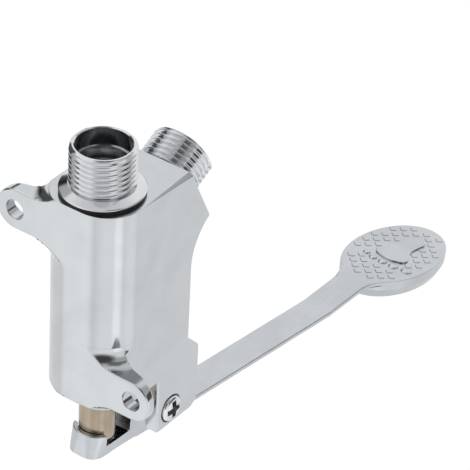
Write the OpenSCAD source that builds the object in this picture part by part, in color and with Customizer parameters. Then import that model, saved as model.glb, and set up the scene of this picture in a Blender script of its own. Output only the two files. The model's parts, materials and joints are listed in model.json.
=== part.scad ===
// Foot pedal tap valve, held on a wall by two diagonal ears.
// Millimetres, +Z up, +X away from the wall. The origin lies on the wall face,
// midway between the two screw holes.

/* [Wall mounting] */
// Height from one wall screw hole to the other
hole_pitch_z = 50.5; // [48:0.5:54]
// Width from one wall screw hole to the other
hole_pitch_y = 45.5; // [44:0.5:52]
// Diameter of a wall screw hole
hole_d = 6.6; // [5:0.1:7.4]
// Radius of an ear's rounded end
ear_r = 7; // [6.4:0.1:7.4]
// Thickness of an ear at its tip
ear_tip_t = 3; // [2.2:0.1:4]
// Thickness of an ear at the casting's side
ear_root_t = 7.4; // [5:0.1:9]
// Thickness of an ear under the head of its screw
screw_land = 4.5; // [4.2:0.1:4.8]
// Radius of the curve between an ear and the casting's round corner
ear_root_r = 6; // [4:0.1:8]

/* [Casting] */
// Distance from the wall to the main axis
axis_x = 13.5; // [13:0.1:16]
// Width of the casting across its flat sides
body_w = 30.4; // [28:0.2:34]
// Depth of the casting from the wall to its back
body_depth = 39.8; // [36:0.2:44]
// Height of the top face above the origin
body_top = 35.2; // [34:0.1:38]
// Depth of the bottom face below the origin
body_bottom = 36.4; // [35.6:0.1:38]
// Radius of the two upright corners on the wall side
wall_corner_r = 12.5; // [9:0.5:13]
// Bevel round the bottom on the wall side
foot_bevel = 0.5; // [0.3:0.1:2]
// Bevel of the top side edges, measured at the rear boss
top_bevel = 1.6; // [0.4:0.1:2.4]

/* [Rear boss] */
// Tilt of the outlet above the horizontal, in degrees
outlet_tilt = 27; // [22:1:32]
// Distance from the wall to the middle of the boss's face
boss_x = 43.7; // [43:0.1:46]
// Height of the middle of the boss's face above the origin
boss_z = 23.9; // [22.7:0.1:24.7]
// Reach of the boss's face below the outlet's axis
boss_low = 10.7; // [10.6:0.1:12]
// Length of the curve under the boss, down the casting's back
boss_curve = 15.3; // [12:0.1:18]

/* [Fork] */
// Thickness of a fork cheek
cheek_t = 5; // [4:0.1:6]
// Depth of the cheeks below the casting's bottom face
cheek_drop = 20.3; // [19.9:0.1:24]
// Height of the cheeks' shoulder above the casting's bottom face
shoulder_rise = 3; // [1:0.1:6]
// Distance from the wall to the cheeks' front edge
cheek_x = 24.7; // [24:0.1:25]
// Length of a cheek along the lever
cheek_len = 20.8; // [20:0.1:24]
// Distance from the cheeks' front edge to the pivot
pivot_inset = 6.9; // [6.5:0.1:8]
// Height of the pivot above the cheeks' lower edge
pivot_rise = 6.2; // [5.9:0.1:6.8]

/* [Pipe threads] */
// Outside diameter of the half inch pipe thread
thread_d = 20.955; // [20:0.005:22]
// Pitch of the pipe thread
thread_pitch = 1.814; // [1.2:0.001:2.2]
// Depth of the pipe thread
thread_depth = 1.16; // [0.6:0.01:1.3]
// Height of the inlet nipple above its collar
inlet_len = 14.6; // [12:0.1:18]
// Length of the outlet nipple in front of its boss
outlet_len = 12.3; // [11:0.1:16]
// Bore of both nipples
nipple_bore = 14; // [13.4:0.1:14.4]
// Diameter of the stepped mouth of both nipples
mouth_d = 17.5; // [16:0.1:18]
// Depth of the stepped mouth
mouth_depth = 6.4; // [4:0.1:6.6]
// Diameter of a nipple's screwed-in spigot
spigot_d = 17.4; // [17.2:0.1:17.8]
// Length of a nipple's screwed-in spigot
spigot_len = 8; // [7:0.1:8.4]
// Diameter of the inlet collar
collar_d = 26.8; // [25:0.1:28]
// Thickness of the inlet collar
collar_t = 1.2; // [1:0.1:2]
// Height of the collar's sloping top, from its rim to the thread
collar_slope = 1; // [0.6:0.1:1.2]
// Thickness of the nipples' sealing rings
seal_t = 1; // [0.8:0.1:1.6]

/* [Valve] */
// Diameter of the brass plunger
plunger_d = 11.6; // [11:0.1:12]
// Diameter of the plunger's thin stem
stem_d = 6; // [5:0.1:6.4]
// Diameter of the threaded stud on top of the stem
stud_d = 4; // [3:0.1:4.6]
// Radius of the plunger's domed foot
foot_r = 14; // [12:0.5:18]
// Opening through the valve seat
seat_bore = 11; // [10.6:0.1:11.4]
// Height of the valve seat ring
seat_h = 4; // [3:0.1:4.4]
// Bore of the cross passage to the outlet
passage_d = 10; // [8:0.1:10.2]
// Lift of the valve at full travel
lift = 3.5; // [3:0.1:3.6]
// Outside diameter of the gland nut
gland_d = 22; // [21.8:0.1:23]
// Length of the gland nut inside the casting
gland_len = 13; // [12.6:0.1:14]
// Cord diameter of the plunger's O-rings
ring_cord = 1.8; // [1.4:0.1:2]
// Wire diameter of the return spring
wire_d = 1.1; // [0.8:0.1:1.3]
// Outside diameter of the return spring
spring_d = 11.6; // [11.4:0.1:12]
// Turns of the return spring
spring_turns = 6; // [4:1:7]
// Depth of the spring's seat below the inlet's stepped mouth
spring_seat_depth = 4; // [3:0.1:4.2]
// Thickness of the spring's seat
spring_seat_t = 3.2; // [2.6:0.1:3.4]
// Opening through the spring's seat
spring_seat_bore = 9; // [8:0.1:9.6]

/* [Pedal] */
// Slope of the lever at rest, in degrees, pad end down
rest_slope = 7.6; // [5:0.1:9]
// Width of the lever
lever_w = 11.4; // [11:0.1:12.4]
// Height of the arm's upright sides
arm_side = 1.5; // [1.2:0.1:2.6]
// Thickness of the lever's arm
arm_t = 4.2; // [3.4:0.1:4.8]
// Depth of the arm's top face below the pivot
arm_drop = 12.3; // [12:0.1:13.4]
// Depth of the toe's floor below the pivot
floor_drop = 9.2; // [8.8:0.1:9.8]
// Outside radius of the toe's cup
cup_r = 7.1; // [7:0.1:7.8]
// Reach of the toe's foot in front of the plunger's axis
toe_nose = 7.3; // [7.2:0.1:9]
// Thickness of the toe under its floor
toe_t = 4.4; // [3.6:0.1:5]
// Height of the cup's lip above the toe's floor
lip_h = 3.8; // [2.6:0.1:4]
// Distance from the pivot to the middle of the pad
pad_x = 154.4; // [130:0.2:180]
// Length of the oval pad
pad_len = 49.4; // [44:0.2:60]
// Width of the oval pad
pad_w = 31; // [28:0.2:38]
// Thickness of the pad
pad_t = 6.7; // [5.6:0.1:8]
// Rise of the pad's top above the arm's top
pad_rise = 2.4; // [0.8:0.1:3.2]
// Length of the arm's ramp up to the pad's height
ramp_len = 22; // [12:0.5:30]
// Distance from the ramp's end to the pad
ramp_gap = 0.6; // [0.2:0.1:6]
// Radius where the arm widens into the pad
neck_r = 18; // [8:0.5:24]
// Radius of the pivot lug
lug_r = 7; // [6:0.1:7.2]

/* [Pivot] */
// Diameter of the pivot screw's shank
pivot_d = 6; // [5:0.1:6.4]
// Diameter of the pivot screw's head
head_d = 8.8; // [8.4:0.1:10]
// Depth of the counterbore for the screw's head
head_depth = 1.4; // [0.8:0.1:1.8]
// Height of the screw's head above the cheek
head_rise = 1.5; // [1.2:0.1:2.4]
// Wall of the pivot bush
bush_wall = 1; // [0.8:0.1:1.4]
// Thickness of a thrust washer
thrust_t = 1; // [0.6:0.1:1.4]

/* [Hidden] */

$fn = 64;
// Radial clearance of what turns or slides, and of what is screwed or pressed in
run_gap = 0.05;
screw_gap = 0.03;
// Gap left where the pedal's toe meets the plunger's foot
foot_gap = 0.3;
// Gap round the pivot screw's head
head_gap = 0.5;
// Overrun of a cutting solid
over = 1;

half_w = body_w / 2;
hole_y = hole_pitch_y / 2;
hole_z = hole_pitch_z / 2;
bottom_z = -body_bottom;
cheek_z = bottom_z - cheek_drop;
cheek_back = cheek_x + cheek_len;
slot_w = body_w - 2 * cheek_t;
pivot_x = cheek_x + pivot_inset;
pivot_z = cheek_z + pivot_rise;
toe_reach = pivot_x - axis_x;

// The inside of the valve, from the top down
spigot_end = body_top - spigot_len;
seat_top = boss_z - (boss_x - axis_x) * tan(outlet_tilt) + passage_d / 2 / cos(outlet_tilt) + seat_h + 0.3;
seat_d = spigot_d + 0.6;
chamber_d = spigot_d + 1.6;
washer_t = 2;
holder_t = 3;
holder_rim = 1.3;
holder_lap = 1.8;
holder_d = seat_bore + 2 * holder_lap;
holder_top = seat_top + washer_t + holder_t;
nut_t = 3;
nut_d = 2 * stud_d;
spring_top = body_top + seal_t + collar_t + inlet_len - mouth_depth - spring_seat_depth - spring_seat_t;
spring_len = spring_top - holder_top;
cheek_cut_w = 3;
cheek_cut_h = 2;
collar_plate_t = 1;
plate_gap = 1;
collar_plate_d = seat_bore - 2 * plate_gap;
gland_top = bottom_z + gland_len;
gland_washer_t = 1.5;
gland_shoulder = gland_top + gland_washer_t;
well_gap = 1.3;
gland_washer_bore = plunger_d + 2 * well_gap;
gland_sink = 0.4;
head_flange_d = plunger_d + 1.2;
head_flange_t = 2.6;
head_z = gland_top + foot_gap;
well_d = gland_washer_bore;
well_top = head_z + head_flange_t + lift + 1;
foot_z = pivot_z + (foot_r - floor_drop + foot_gap + toe_reach * sin(rest_slope)) / cos(rest_slope) - foot_r;
groove_r = plunger_d / 2 + run_gap - ring_cord - 0.02;
ring_gap = 0.03;
ring_mid_r = plunger_d / 2 + run_gap - ring_gap - ring_cord / 2;
ring_pitch = 4.2;
ring_drop = 3;
upper_ring_z = gland_top - ring_drop;
lower_ring_z = upper_ring_z - ring_pitch;

lug_len = slot_w - 2 * thrust_t - 4 * run_gap;
bush_d = pivot_d + 2 * run_gap + 2 * bush_wall;
cup_gap = 0.25;
cup_bore = plunger_d / 2 + cup_gap;
toe_low = -floor_drop - toe_t;

// Frames that the pieces are set in
module on_axis(z = 0) {
    translate([axis_x, 0, z]) children();
}

module on_outlet(out = 0) {
    translate([boss_x, 0, boss_z]) rotate([0, 90 - outlet_tilt, 0]) translate([0, 0, out]) children();
}

module on_pivot() {
    translate([pivot_x, 0, pivot_z]) children();
}

module on_lever() {
    on_pivot() rotate([0, rest_slope, 0]) children();
}

module along_y(length, d) {
    rotate([90, 0, 0]) cylinder(h = length, d = d, center = true);
}

module ring(h, outer_d, inner_d) {
    difference() {
        cylinder(h = h, d = outer_d);
        translate([0, 0, -over]) cylinder(h = h + 2 * over, d = inner_d);
    }
}

// Half profile of a male thread from z = 0 to its length: rings of flat crests and flat roots
function thread_rings(length) = floor((length - thread_pitch) / thread_pitch);
function thread_points(length) = let (
    r = thread_d / 2,
    root = r - thread_depth,
    flat = thread_pitch / 4,
    first = (length - thread_rings(length) * thread_pitch) / 2
) concat(
    [[root, 0], [root, first - flat]],
    [for (i = [0 : thread_rings(length) - 1]) each [
        [r, first + i * thread_pitch],
        [r, first + i * thread_pitch + flat],
        [root, first + (i + 0.5) * thread_pitch],
        [root, first + (i + 0.5) * thread_pitch + flat]
    ]],
    [[r, length - first], [r, length - 2 * flat], [r - flat, length]]
);

module threaded_end(length) {
    rotate_extrude() polygon(concat([[0, 0]], thread_points(length), [[0, length]]));
}

// Stepped water way of a nipple that ends at the given height
module nipple_way(end, start) {
    translate([0, 0, start - over]) cylinder(h = end - start + 2 * over, d = nipple_bore);
    translate([0, 0, end - mouth_depth]) cylinder(h = mouth_depth + over, d = mouth_d);
}

// Casting seen from the side, without its curve under the boss
module body_side() {
    low = [boss_x + boss_low * sin(outlet_tilt), boss_z - boss_low * cos(outlet_tilt)];
    top_x = boss_x - (body_top - boss_z) * tan(outlet_tilt);
    step = cheek_back - body_depth;
    polygon([
        [wall_corner_r, body_top], [top_x, body_top], low, [low.x, low.y - boss_curve],
        [body_depth, low.y - boss_curve], [body_depth, bottom_z + shoulder_rise + step],
        [cheek_back, bottom_z + shoulder_rise], [cheek_back, cheek_z + cheek_cut_h], [cheek_back - cheek_cut_w, cheek_z],
        [cheek_x, cheek_z],
        [cheek_x, bottom_z], [wall_corner_r, bottom_z]
    ]);
}

module body_front_plan(inset = 0) {
    r = wall_corner_r;
    translate([inset, r - half_w]) square([r - inset, body_w - 2 * r]);
    for (side = [-1, 1]) {
        intersection() {
            translate([r, side * (half_w - r)]) circle(r = r - inset);
            translate([0, -body_w]) square([r, 2 * body_w]);
        }
    }
}

module body_front() {
    translate([0, 0, bottom_z + foot_bevel]) linear_extrude(body_top - bottom_z - foot_bevel) body_front_plan();
    hull() {
        translate([0, 0, bottom_z + foot_bevel]) linear_extrude(0.01) body_front_plan();
        translate([0, 0, bottom_z]) linear_extrude(0.01) body_front_plan(foot_bevel);
    }
}

module boss_curve_cut() {
    reach = boss_x + boss_low * sin(outlet_tilt) - body_depth;
    curve_z = boss_z - boss_low * cos(outlet_tilt) - boss_curve;
    r = (reach * reach + boss_curve * boss_curve) / (2 * reach);
    translate([body_depth + r, 0, curve_z]) along_y(body_w + 2 * over, 2 * r);
}

// Wedge cut that grows along the casting's upper side edge towards the boss
module top_bevel_cut() {
    run = boss_x - axis_x;
    lean = atan(top_bevel / run / sqrt(2));
    for (side = [0, 1]) {
        mirror([0, side, 0]) translate([axis_x, -half_w, body_top]) rotate([45, 0, 0]) rotate([0, lean, 0])
            translate([0, -body_w, 0]) cube([2 * run, 2 * body_w, body_w]);
    }
}

// An ear from the front, round about its hole
module ear_outline() {
    root_y = half_w - wall_corner_r;
    translate([hole_y, hole_z]) circle(r = ear_r);
    translate([root_y, hole_z - ear_r]) square([hole_y - root_y, 2 * ear_r]);
}

// The ear's thickness from above
module ear_wedge() {
    root_y = half_w - wall_corner_r;
    tip_y = hole_y + ear_r + 0.1;
    polygon([
        [0, root_y], [0, tip_y], [ear_tip_t, tip_y], [ear_root_t, half_w],
        [wall_corner_r, half_w], [wall_corner_r, root_y]
    ]);
}

// Curve from an ear's edge up the casting's round corner
module ear_curve(height) {
    reach = wall_corner_r + ear_root_r;
    rotate_extrude() difference() {
        square([reach, height]);
        translate([reach, ear_root_r]) circle(r = ear_root_r);
    }
}

// Ear with its root curves, screw hole and the flat for the screw's head
module ear(edge) {
    seat_d = 2 * hole_d - 1.6;
    corner = [wall_corner_r, half_w - wall_corner_r];
    high = hole_z + ear_r;
    low = hole_z - ear_r;
    difference() {
        intersection() {
            union() {
                rotate([90, 0, 90]) linear_extrude(wall_corner_r) ear_outline();
                translate([corner.x, corner.y, high - 0.01])
                    ear_curve(min(edge - high + 0.01, 0.9 * ear_root_r));
                translate([corner.x, corner.y, low + 0.01]) mirror([0, 0, 1]) ear_curve(0.9 * ear_root_r);
            }
            linear_extrude(edge + over) ear_wedge();
        }
        translate([-over, hole_y, hole_z]) rotate([0, 90, 0]) cylinder(h = ear_root_t + 2 * over, d = hole_d);
        translate([screw_land, hole_y, hole_z]) rotate([0, 90, 0]) cylinder(h = ear_root_t, d = seat_d);
    }
}

module valve_bores() {
    on_axis(spigot_end) cylinder(h = spigot_len + over, r = spigot_d / 2 + screw_gap);
    on_axis(seat_top) cylinder(h = spigot_end - seat_top + 0.01, d = chamber_d);
    on_axis(seat_top - seat_h) cylinder(h = seat_h + 0.01, r = seat_d / 2 + screw_gap);
    on_axis(gland_shoulder) cylinder(h = seat_top - seat_h - gland_shoulder + 0.01, d = seat_bore);
    on_axis(gland_shoulder - 0.01) cylinder(h = well_top - gland_shoulder, d = well_d);
    on_axis(bottom_z - over) cylinder(h = gland_len + gland_washer_t + over, r = gland_d / 2 + screw_gap);
    on_outlet(-spigot_len - seal_t) cylinder(h = spigot_len + seal_t + over, r = spigot_d / 2 + screw_gap);
    on_outlet(-(boss_x - axis_x) / cos(outlet_tilt)) cylinder(h = boss_x - axis_x, d = passage_d);
}

module pivot_bores() {
    on_pivot() along_y(body_w + 2 * over, pivot_d + 2 * run_gap);
    on_pivot() translate([0, head_depth - half_w, 0]) rotate([90, 0, 0])
        cylinder(h = head_depth + over, d = head_d + 2 * head_gap);
}

module body() {
    color("lightgray") difference() {
        union() {
            body_front();
            rotate([90, 0, 0]) linear_extrude(body_w, center = true) body_side();
            ear(body_top);
            rotate([180, 0, 0]) ear(body_bottom - foot_bevel);
        }
        boss_curve_cut();
        top_bevel_cut();
        translate([cheek_x - over, -slot_w / 2, cheek_z - over])
            cube([cheek_len + 2 * over, slot_w, cheek_drop + over]);
        valve_bores();
        pivot_bores();
    }
}

module valve_seat() {
    lip_w = 1.2;
    color("goldenrod") on_axis(seat_top - seat_h) {
        ring(seat_h - 0.6, seat_d, seat_bore);
        ring(seat_h, seat_bore + 2 * lip_w, seat_bore);
    }
}

module inlet_nipple() {
    thread_z = body_top + seal_t + collar_t;
    end = thread_z + inlet_len;
    color("silver") on_axis() difference() {
        union() {
            translate([0, 0, spigot_end]) cylinder(h = thread_z - spigot_end, d = spigot_d);
            translate([0, 0, body_top + seal_t]) cylinder(h = collar_t - collar_slope / 2, d = collar_d);
            translate([0, 0, thread_z - collar_slope / 2]) cylinder(h = 0.9 * collar_slope, d1 = collar_d, d2 = thread_d);
            translate([0, 0, thread_z]) threaded_end(inlet_len);
        }
        nipple_way(end, spigot_end);
    }
}

module inlet_seal() {
    color("black") on_axis(body_top) ring(seal_t, collar_d - 0.4, spigot_d + 2 * screw_gap);
}

module outlet_nipple() {
    color("silver") on_outlet() difference() {
        union() {
            translate([0, 0, -spigot_len]) cylinder(h = spigot_len + 0.01, d = spigot_d);
            threaded_end(outlet_len);
        }
        nipple_way(outlet_len, -spigot_len);
    }
}

module outlet_seal() {
    color("black") on_outlet(-spigot_len - seal_t) ring(seal_t, spigot_d, nipple_bore);
}

module gland_nut() {
    pin_hole_d = 2.2;
    pin_hole_depth = 3;
    pin_ring = (gland_d + plunger_d) / 4 + 0.4;
    color("goldenrod") on_axis(bottom_z) difference() {
        translate([0, 0, gland_sink]) cylinder(h = gland_len - gland_sink, d = gland_d);
        translate([0, 0, -over]) cylinder(h = gland_len + 2 * over, r = plunger_d / 2 + run_gap);
        for (side = [-1, 1]) {
            translate([0, side * pin_ring, -over]) cylinder(h = pin_hole_depth + over, d = pin_hole_d);
        }
    }
}

module gland_washer() {
    color("dimgray") on_axis(gland_top) ring(gland_washer_t, gland_d, gland_washer_bore);
}

module plunger() {
    plate_z = seat_top - collar_plate_t;
    groove_h = ring_cord + 0.3;
    color("rosybrown") on_axis() difference() {
        union() {
            intersection() {
                translate([0, 0, foot_z]) cylinder(h = head_z - foot_z + 0.01, d = plunger_d);
                union() {
                    translate([0, 0, foot_z + foot_r]) sphere(r = foot_r);
                    translate([0, 0, foot_z + foot_r]) cylinder(h = head_z - foot_z, d = 2 * foot_r);
                }
            }
            translate([0, 0, head_z]) cylinder(h = head_flange_t, d = head_flange_d);
            translate([0, 0, head_z]) cylinder(h = plate_z - head_z + 0.01, d = stem_d);
            translate([0, 0, plate_z]) cylinder(h = collar_plate_t, d = collar_plate_d);
            translate([0, 0, plate_z]) cylinder(h = holder_top + nut_t + 1 - plate_z, d = stud_d);
        }
        for (z = [upper_ring_z, lower_ring_z]) {
            translate([0, 0, z - groove_h / 2]) ring(groove_h, plunger_d + over, 2 * groove_r);
        }
    }
}

module o_ring(z) {
    color("black") on_axis(z) rotate_extrude() translate([ring_mid_r, 0]) circle(d = ring_cord, $fn = 32);
}

module upper_o_ring() {
    o_ring(upper_ring_z);
}

module lower_o_ring() {
    o_ring(lower_ring_z);
}

module valve_washer() {
    color("black") on_axis(seat_top) ring(washer_t, holder_d - 2 * holder_rim - 0.1, stud_d + 2 * screw_gap);
}

module washer_holder() {
    rim_drop = washer_t - 0.6;
    color("goldenrod") on_axis(seat_top + washer_t) {
        ring(holder_t, holder_d, stud_d + 2 * screw_gap);
        translate([0, 0, -rim_drop]) ring(rim_drop + 0.01, holder_d, holder_d - 2 * holder_rim);
    }
}

module lock_nut() {
    color("silver") on_axis(holder_top) difference() {
        cylinder(h = nut_t, d = nut_d, $fn = 6);
        translate([0, 0, -over]) cylinder(h = nut_t + 2 * over, r = stud_d / 2 + screw_gap, $fn = 64);
    }
}

// The spring is one tube swept along a helix with flat end turns
spring_steps = 12;
spring_sides = 6;
function spring_z(turn) = let (
    live = spring_turns - 2,
    t = min(max(turn - 1, 0), live) / live,
    ends = min(turn, 1) + max(turn - spring_turns + 1, 0)
) wire_d / 2 + ends * (wire_d + 0.45) + t * (spring_len - wire_d - 2 * (wire_d + 0.45));
spring_points = [for (i = [0 : spring_turns * spring_steps]) let (
    turn = i / spring_steps,
    a = 360 * turn,
    mid_r = (spring_d - wire_d) / 2
) for (s = [0 : spring_sides - 1]) let (b = 360 * s / spring_sides) [
    (mid_r + wire_d / 2 * cos(b)) * cos(a),
    (mid_r + wire_d / 2 * cos(b)) * sin(a),
    spring_z(turn) + wire_d / 2 * sin(b)
]];
spring_faces = concat(
    [[for (s = [0 : spring_sides - 1]) s]],
    [for (i = [0 : spring_turns * spring_steps - 1], s = [0 : spring_sides - 1]) let (
        a = i * spring_sides + s,
        b = i * spring_sides + (s + 1) % spring_sides
    ) each [[a, a + spring_sides, b], [b, a + spring_sides, b + spring_sides]]],
    [[for (s = [spring_sides - 1 : -1 : 0]) spring_turns * spring_steps * spring_sides + s]]
);
spring_gaps = [for (i = [0 : (spring_turns - 1) * spring_steps])
    spring_z(i / spring_steps + 1) - spring_z(i / spring_steps) - wire_d];
echo(least_gap_between_spring_turns = min(spring_gaps));

module return_spring() {
    color("lightsteelblue") on_axis(holder_top) polyhedron(spring_points, spring_faces);
}

// Ring pressed into the inlet nipple, which holds the spring down
module spring_seat() {
    color("goldenrod") on_axis(spring_top) ring(spring_seat_t, nipple_bore - 2 * screw_gap, spring_seat_bore);
}

module oval(inset = 0) {
    sides = 72;
    polygon([for (i = [0 : sides - 1]) let (a = 360 * i / sides)
        [(pad_len / 2 - inset) * cos(a), (pad_w / 2 - inset) * sin(a)]]);
}

// Foot pad with a rim that draws in underneath
module pad() {
    draw_in = 1.6;
    translate([pad_x, 0, pad_rise - arm_drop]) hull() {
        translate([0, 0, -pad_t / 2]) linear_extrude(pad_t / 2) oval();
        translate([0, 0, -pad_t]) linear_extrude(0.1) oval(draw_in);
    }
}

// Arm seen along its length: flat top, short upright sides and a narrow underside
module arm_section() {
    w = lever_w / 2;
    low_w = w - 0.9 * (arm_t - arm_side);
    polygon([[-w, 0], [-w, -arm_side], [-low_w, -arm_t], [low_w, -arm_t], [w, -arm_side], [w, 0]]);
}

module arm_length(x, z, length) {
    translate([x, 0, z]) rotate([90, 0, 90]) linear_extrude(length) arm_section();
}

// Arm with a ramp up to the pad, and a web with hollow sides where it widens
module arm() {
    ramp_end = pad_x - pad_len / 2 - ramp_gap;
    ramp_start = ramp_end - ramp_len;
    pad_z = pad_rise - arm_drop;
    arm_length(0, -arm_drop, ramp_start + 0.01);
    hull() {
        arm_length(ramp_start, -arm_drop, 0.01);
        arm_length(ramp_end, pad_z, 0.01);
    }
    arm_length(ramp_end, pad_z, pad_x - ramp_end);
    intersection() {
        translate([0, 0, -2 * arm_drop]) linear_extrude(2 * arm_drop)
            offset(r = -neck_r, $fn = 64) offset(delta = neck_r) union() {
                translate([pad_x, 0]) oval();
                translate([ramp_start, -lever_w / 2]) square([pad_x - ramp_start, lever_w]);
            }
        rotate([90, 0, 0]) linear_extrude(pad_w + 2 * over, center = true) polygon([
            [ramp_start, -arm_drop], [ramp_end, pad_z], [pad_x, pad_z],
            [pad_x, pad_z - arm_side], [ramp_end, pad_z - arm_side], [ramp_start, -arm_drop - arm_side]
        ]);
    }
}

// Toe with a floor for the plunger's foot and an upright lip in front of it
module toe_base() {
    r = 4;
    w = lever_w / 2;
    translate([-toe_nose + r, -w]) square([toe_nose, lever_w]);
    translate([-toe_nose, r - w]) square([toe_nose, lever_w - 2 * r]);
    for (side = [-1, 1]) {
        translate([-toe_nose + r, side * (w - r)]) circle(r = r, $fn = 32);
    }
}

module toe() {
    lip_back = -3;
    translate([-toe_reach / cos(rest_slope), 0, 0]) difference() {
        union() {
            hull() {
                translate([0, 0, lip_h - floor_drop]) cylinder(h = 0.01, r = cup_r);
                translate([0, 0, toe_low]) linear_extrude(0.01) toe_base();
            }
            translate([0, -lever_w / 2, toe_low]) cube([toe_reach, lever_w, toe_t]);
        }
        intersection() {
            rotate([0, -rest_slope, 0]) translate([0, 0, -floor_drop - cup_r]) {
                cylinder(h = 3 * cup_r, r = cup_bore);
                translate([lip_back, -2 * cup_r, 0]) cube([4 * cup_r, 4 * cup_r, 3 * cup_r]);
            }
            translate([-2 * cup_r, -2 * cup_r, -floor_drop]) cube([4 * cup_r, 4 * cup_r, 3 * cup_r]);
        }
    }
}

module lug() {
    along_y(lug_len, 2 * lug_r);
    translate([-lug_r, -lever_w / 2, toe_low]) cube([2 * lug_r, lever_w, -toe_low]);
}

module pedal() {
    color("gainsboro") on_lever() difference() {
        union() {
            toe();
            lug();
            arm();
            pad();
        }
        along_y(lug_len + 2 * over, bush_d + 2 * screw_gap);
    }
}

module pivot_bush() {
    color("goldenrod") on_pivot() difference() {
        along_y(lug_len, bush_d);
        along_y(lug_len + 2 * over, pivot_d + 2 * run_gap);
    }
}

module thrust_washer(side) {
    y = side * (slot_w / 2 - run_gap - thrust_t / 2);
    color("whitesmoke") on_pivot() translate([0, y, 0]) difference() {
        along_y(thrust_t, 2 * lug_r - 1);
        along_y(thrust_t + 2 * over, pivot_d + 2 * run_gap);
    }
}

module near_thrust_washer() {
    thrust_washer(-1);
}

module far_thrust_washer() {
    thrust_washer(1);
}

// Pan head screw that stands a little above the near cheek
module pivot_screw() {
    cross_w = 1.7;
    cross_len = 6.6;
    cross_depth = 1.5;
    head_slope = 1.2;
    head_wall = head_depth + head_rise - head_slope;
    color("silver") on_pivot() translate([0, head_depth - half_w, 0]) rotate([90, 0, 0]) difference() {
        union() {
            cylinder(h = head_wall, d = head_d);
            translate([0, 0, head_wall]) cylinder(h = head_slope, d1 = head_d, d2 = head_d - 2 * head_slope);
            translate([0, 0, head_depth + 0.4 - body_w]) cylinder(h = body_w - head_depth - 0.4, d = pivot_d);
        }
        translate([0, 0, head_wall + head_slope]) for (turn = [0, 90]) {
            rotate([0, 0, turn]) cube([cross_len, cross_w, 2 * cross_depth], center = true);
        }
    }
}

body();
valve_seat();
inlet_nipple();
inlet_seal();
outlet_nipple();
outlet_seal();
gland_nut();
gland_washer();
plunger();
upper_o_ring();
lower_o_ring();
valve_washer();
washer_holder();
lock_nut();
return_spring();
spring_seat();
pedal();
pivot_bush();
near_thrust_washer();
far_thrust_washer();
pivot_screw();
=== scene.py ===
# %% [markdown]
# # Foot pedal tap valve
# A chromed casting is screwed to the wall by two ears. A step on the long lever lifts a brass plunger
# inside it, and water runs from the upright inlet to the tilted outlet.
# The measured solids are loaded first. They are in metres, and every new piece is built in the same
# place at its real size, so nothing has to be fitted afterwards.

# %% Load the measured solids
import json
import math

import bpy
from mathutils import Matrix, Vector

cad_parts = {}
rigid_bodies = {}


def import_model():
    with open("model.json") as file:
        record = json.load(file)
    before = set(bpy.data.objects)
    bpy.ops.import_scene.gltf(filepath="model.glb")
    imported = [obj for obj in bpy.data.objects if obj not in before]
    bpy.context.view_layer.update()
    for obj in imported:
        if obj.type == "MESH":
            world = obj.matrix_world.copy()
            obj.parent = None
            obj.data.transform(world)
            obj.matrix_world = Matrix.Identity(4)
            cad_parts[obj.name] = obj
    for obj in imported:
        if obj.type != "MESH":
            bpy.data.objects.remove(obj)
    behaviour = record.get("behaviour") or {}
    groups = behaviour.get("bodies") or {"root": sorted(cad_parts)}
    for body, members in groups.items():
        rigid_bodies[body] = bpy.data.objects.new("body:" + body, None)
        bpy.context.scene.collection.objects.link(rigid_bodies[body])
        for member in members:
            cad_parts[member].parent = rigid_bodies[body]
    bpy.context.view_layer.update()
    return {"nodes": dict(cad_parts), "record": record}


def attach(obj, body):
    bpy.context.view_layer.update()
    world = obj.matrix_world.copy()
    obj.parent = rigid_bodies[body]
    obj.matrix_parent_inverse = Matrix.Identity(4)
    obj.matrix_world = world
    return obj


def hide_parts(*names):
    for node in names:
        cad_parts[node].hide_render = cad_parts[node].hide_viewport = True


for leftover in list(bpy.data.objects):
    bpy.data.objects.remove(leftover)
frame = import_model()
solids = frame["nodes"]
MM = 0.001

# %% [markdown]
# ## Camera
# The picture was taken from above on the wall side, from about a metre away with a long lens. A camera
# could be moved by eye until it fits. Here its three angles and the distance were worked out from the
# edges of the valve, so the inlet's rim lands on the right pixel of the square 470 pixel picture.

# %% Camera
HEADING, DIP, ROLL = (math.radians(angle) for angle in (55.52, 34.94, 2.96))
DISTANCE = 1.001
FOCAL_PIXELS = 3391.02
FRAME_PIXELS = 470
SENSOR_WIDTH = 36
INLET_X, INLET_TOP = 13.5, 52.0
RIM_PIXEL = Vector((103.77, 143.08))

rim_centre = Vector((INLET_X, 0, INLET_TOP)) * MM
sideways = Vector((math.cos(HEADING), -math.sin(HEADING), 0))
forward = Vector((math.sin(HEADING) * math.cos(DIP), math.cos(HEADING) * math.cos(DIP), -math.sin(DIP)))
upright = sideways.cross(forward)
picture_x = math.cos(ROLL) * sideways + math.sin(ROLL) * upright
picture_y = math.cos(ROLL) * upright - math.sin(ROLL) * sideways
off_centre = (RIM_PIXEL - Vector((FRAME_PIXELS, FRAME_PIXELS)) / 2) / FOCAL_PIXELS
eye = rim_centre - DISTANCE * (forward + off_centre.x * picture_x - off_centre.y * picture_y)

lens = bpy.data.cameras.new("photo_lens")
lens.sensor_width = SENSOR_WIDTH
lens.lens = FOCAL_PIXELS / FRAME_PIXELS * SENSOR_WIDTH
lens.clip_start = 0.05
camera = bpy.data.objects.new("photo_camera", lens)
bpy.context.scene.collection.objects.link(camera)
turn_to_eye = Matrix((picture_x, picture_y, -forward)).transposed().to_4x4()
camera.matrix_world = Matrix.Translation(eye) @ turn_to_eye
bpy.context.scene.camera = camera
print("camera at", [round(v, 4) for v in eye], "lens", round(lens.lens, 1), "mm")

# %% [markdown]
# ## Shader maths
# Finishes here are made from noise, steps and sums. Wiring each Math node by hand is slow to read, so one
# small class wraps a socket and lets ordinary plus and times signs add the nodes.

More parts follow.
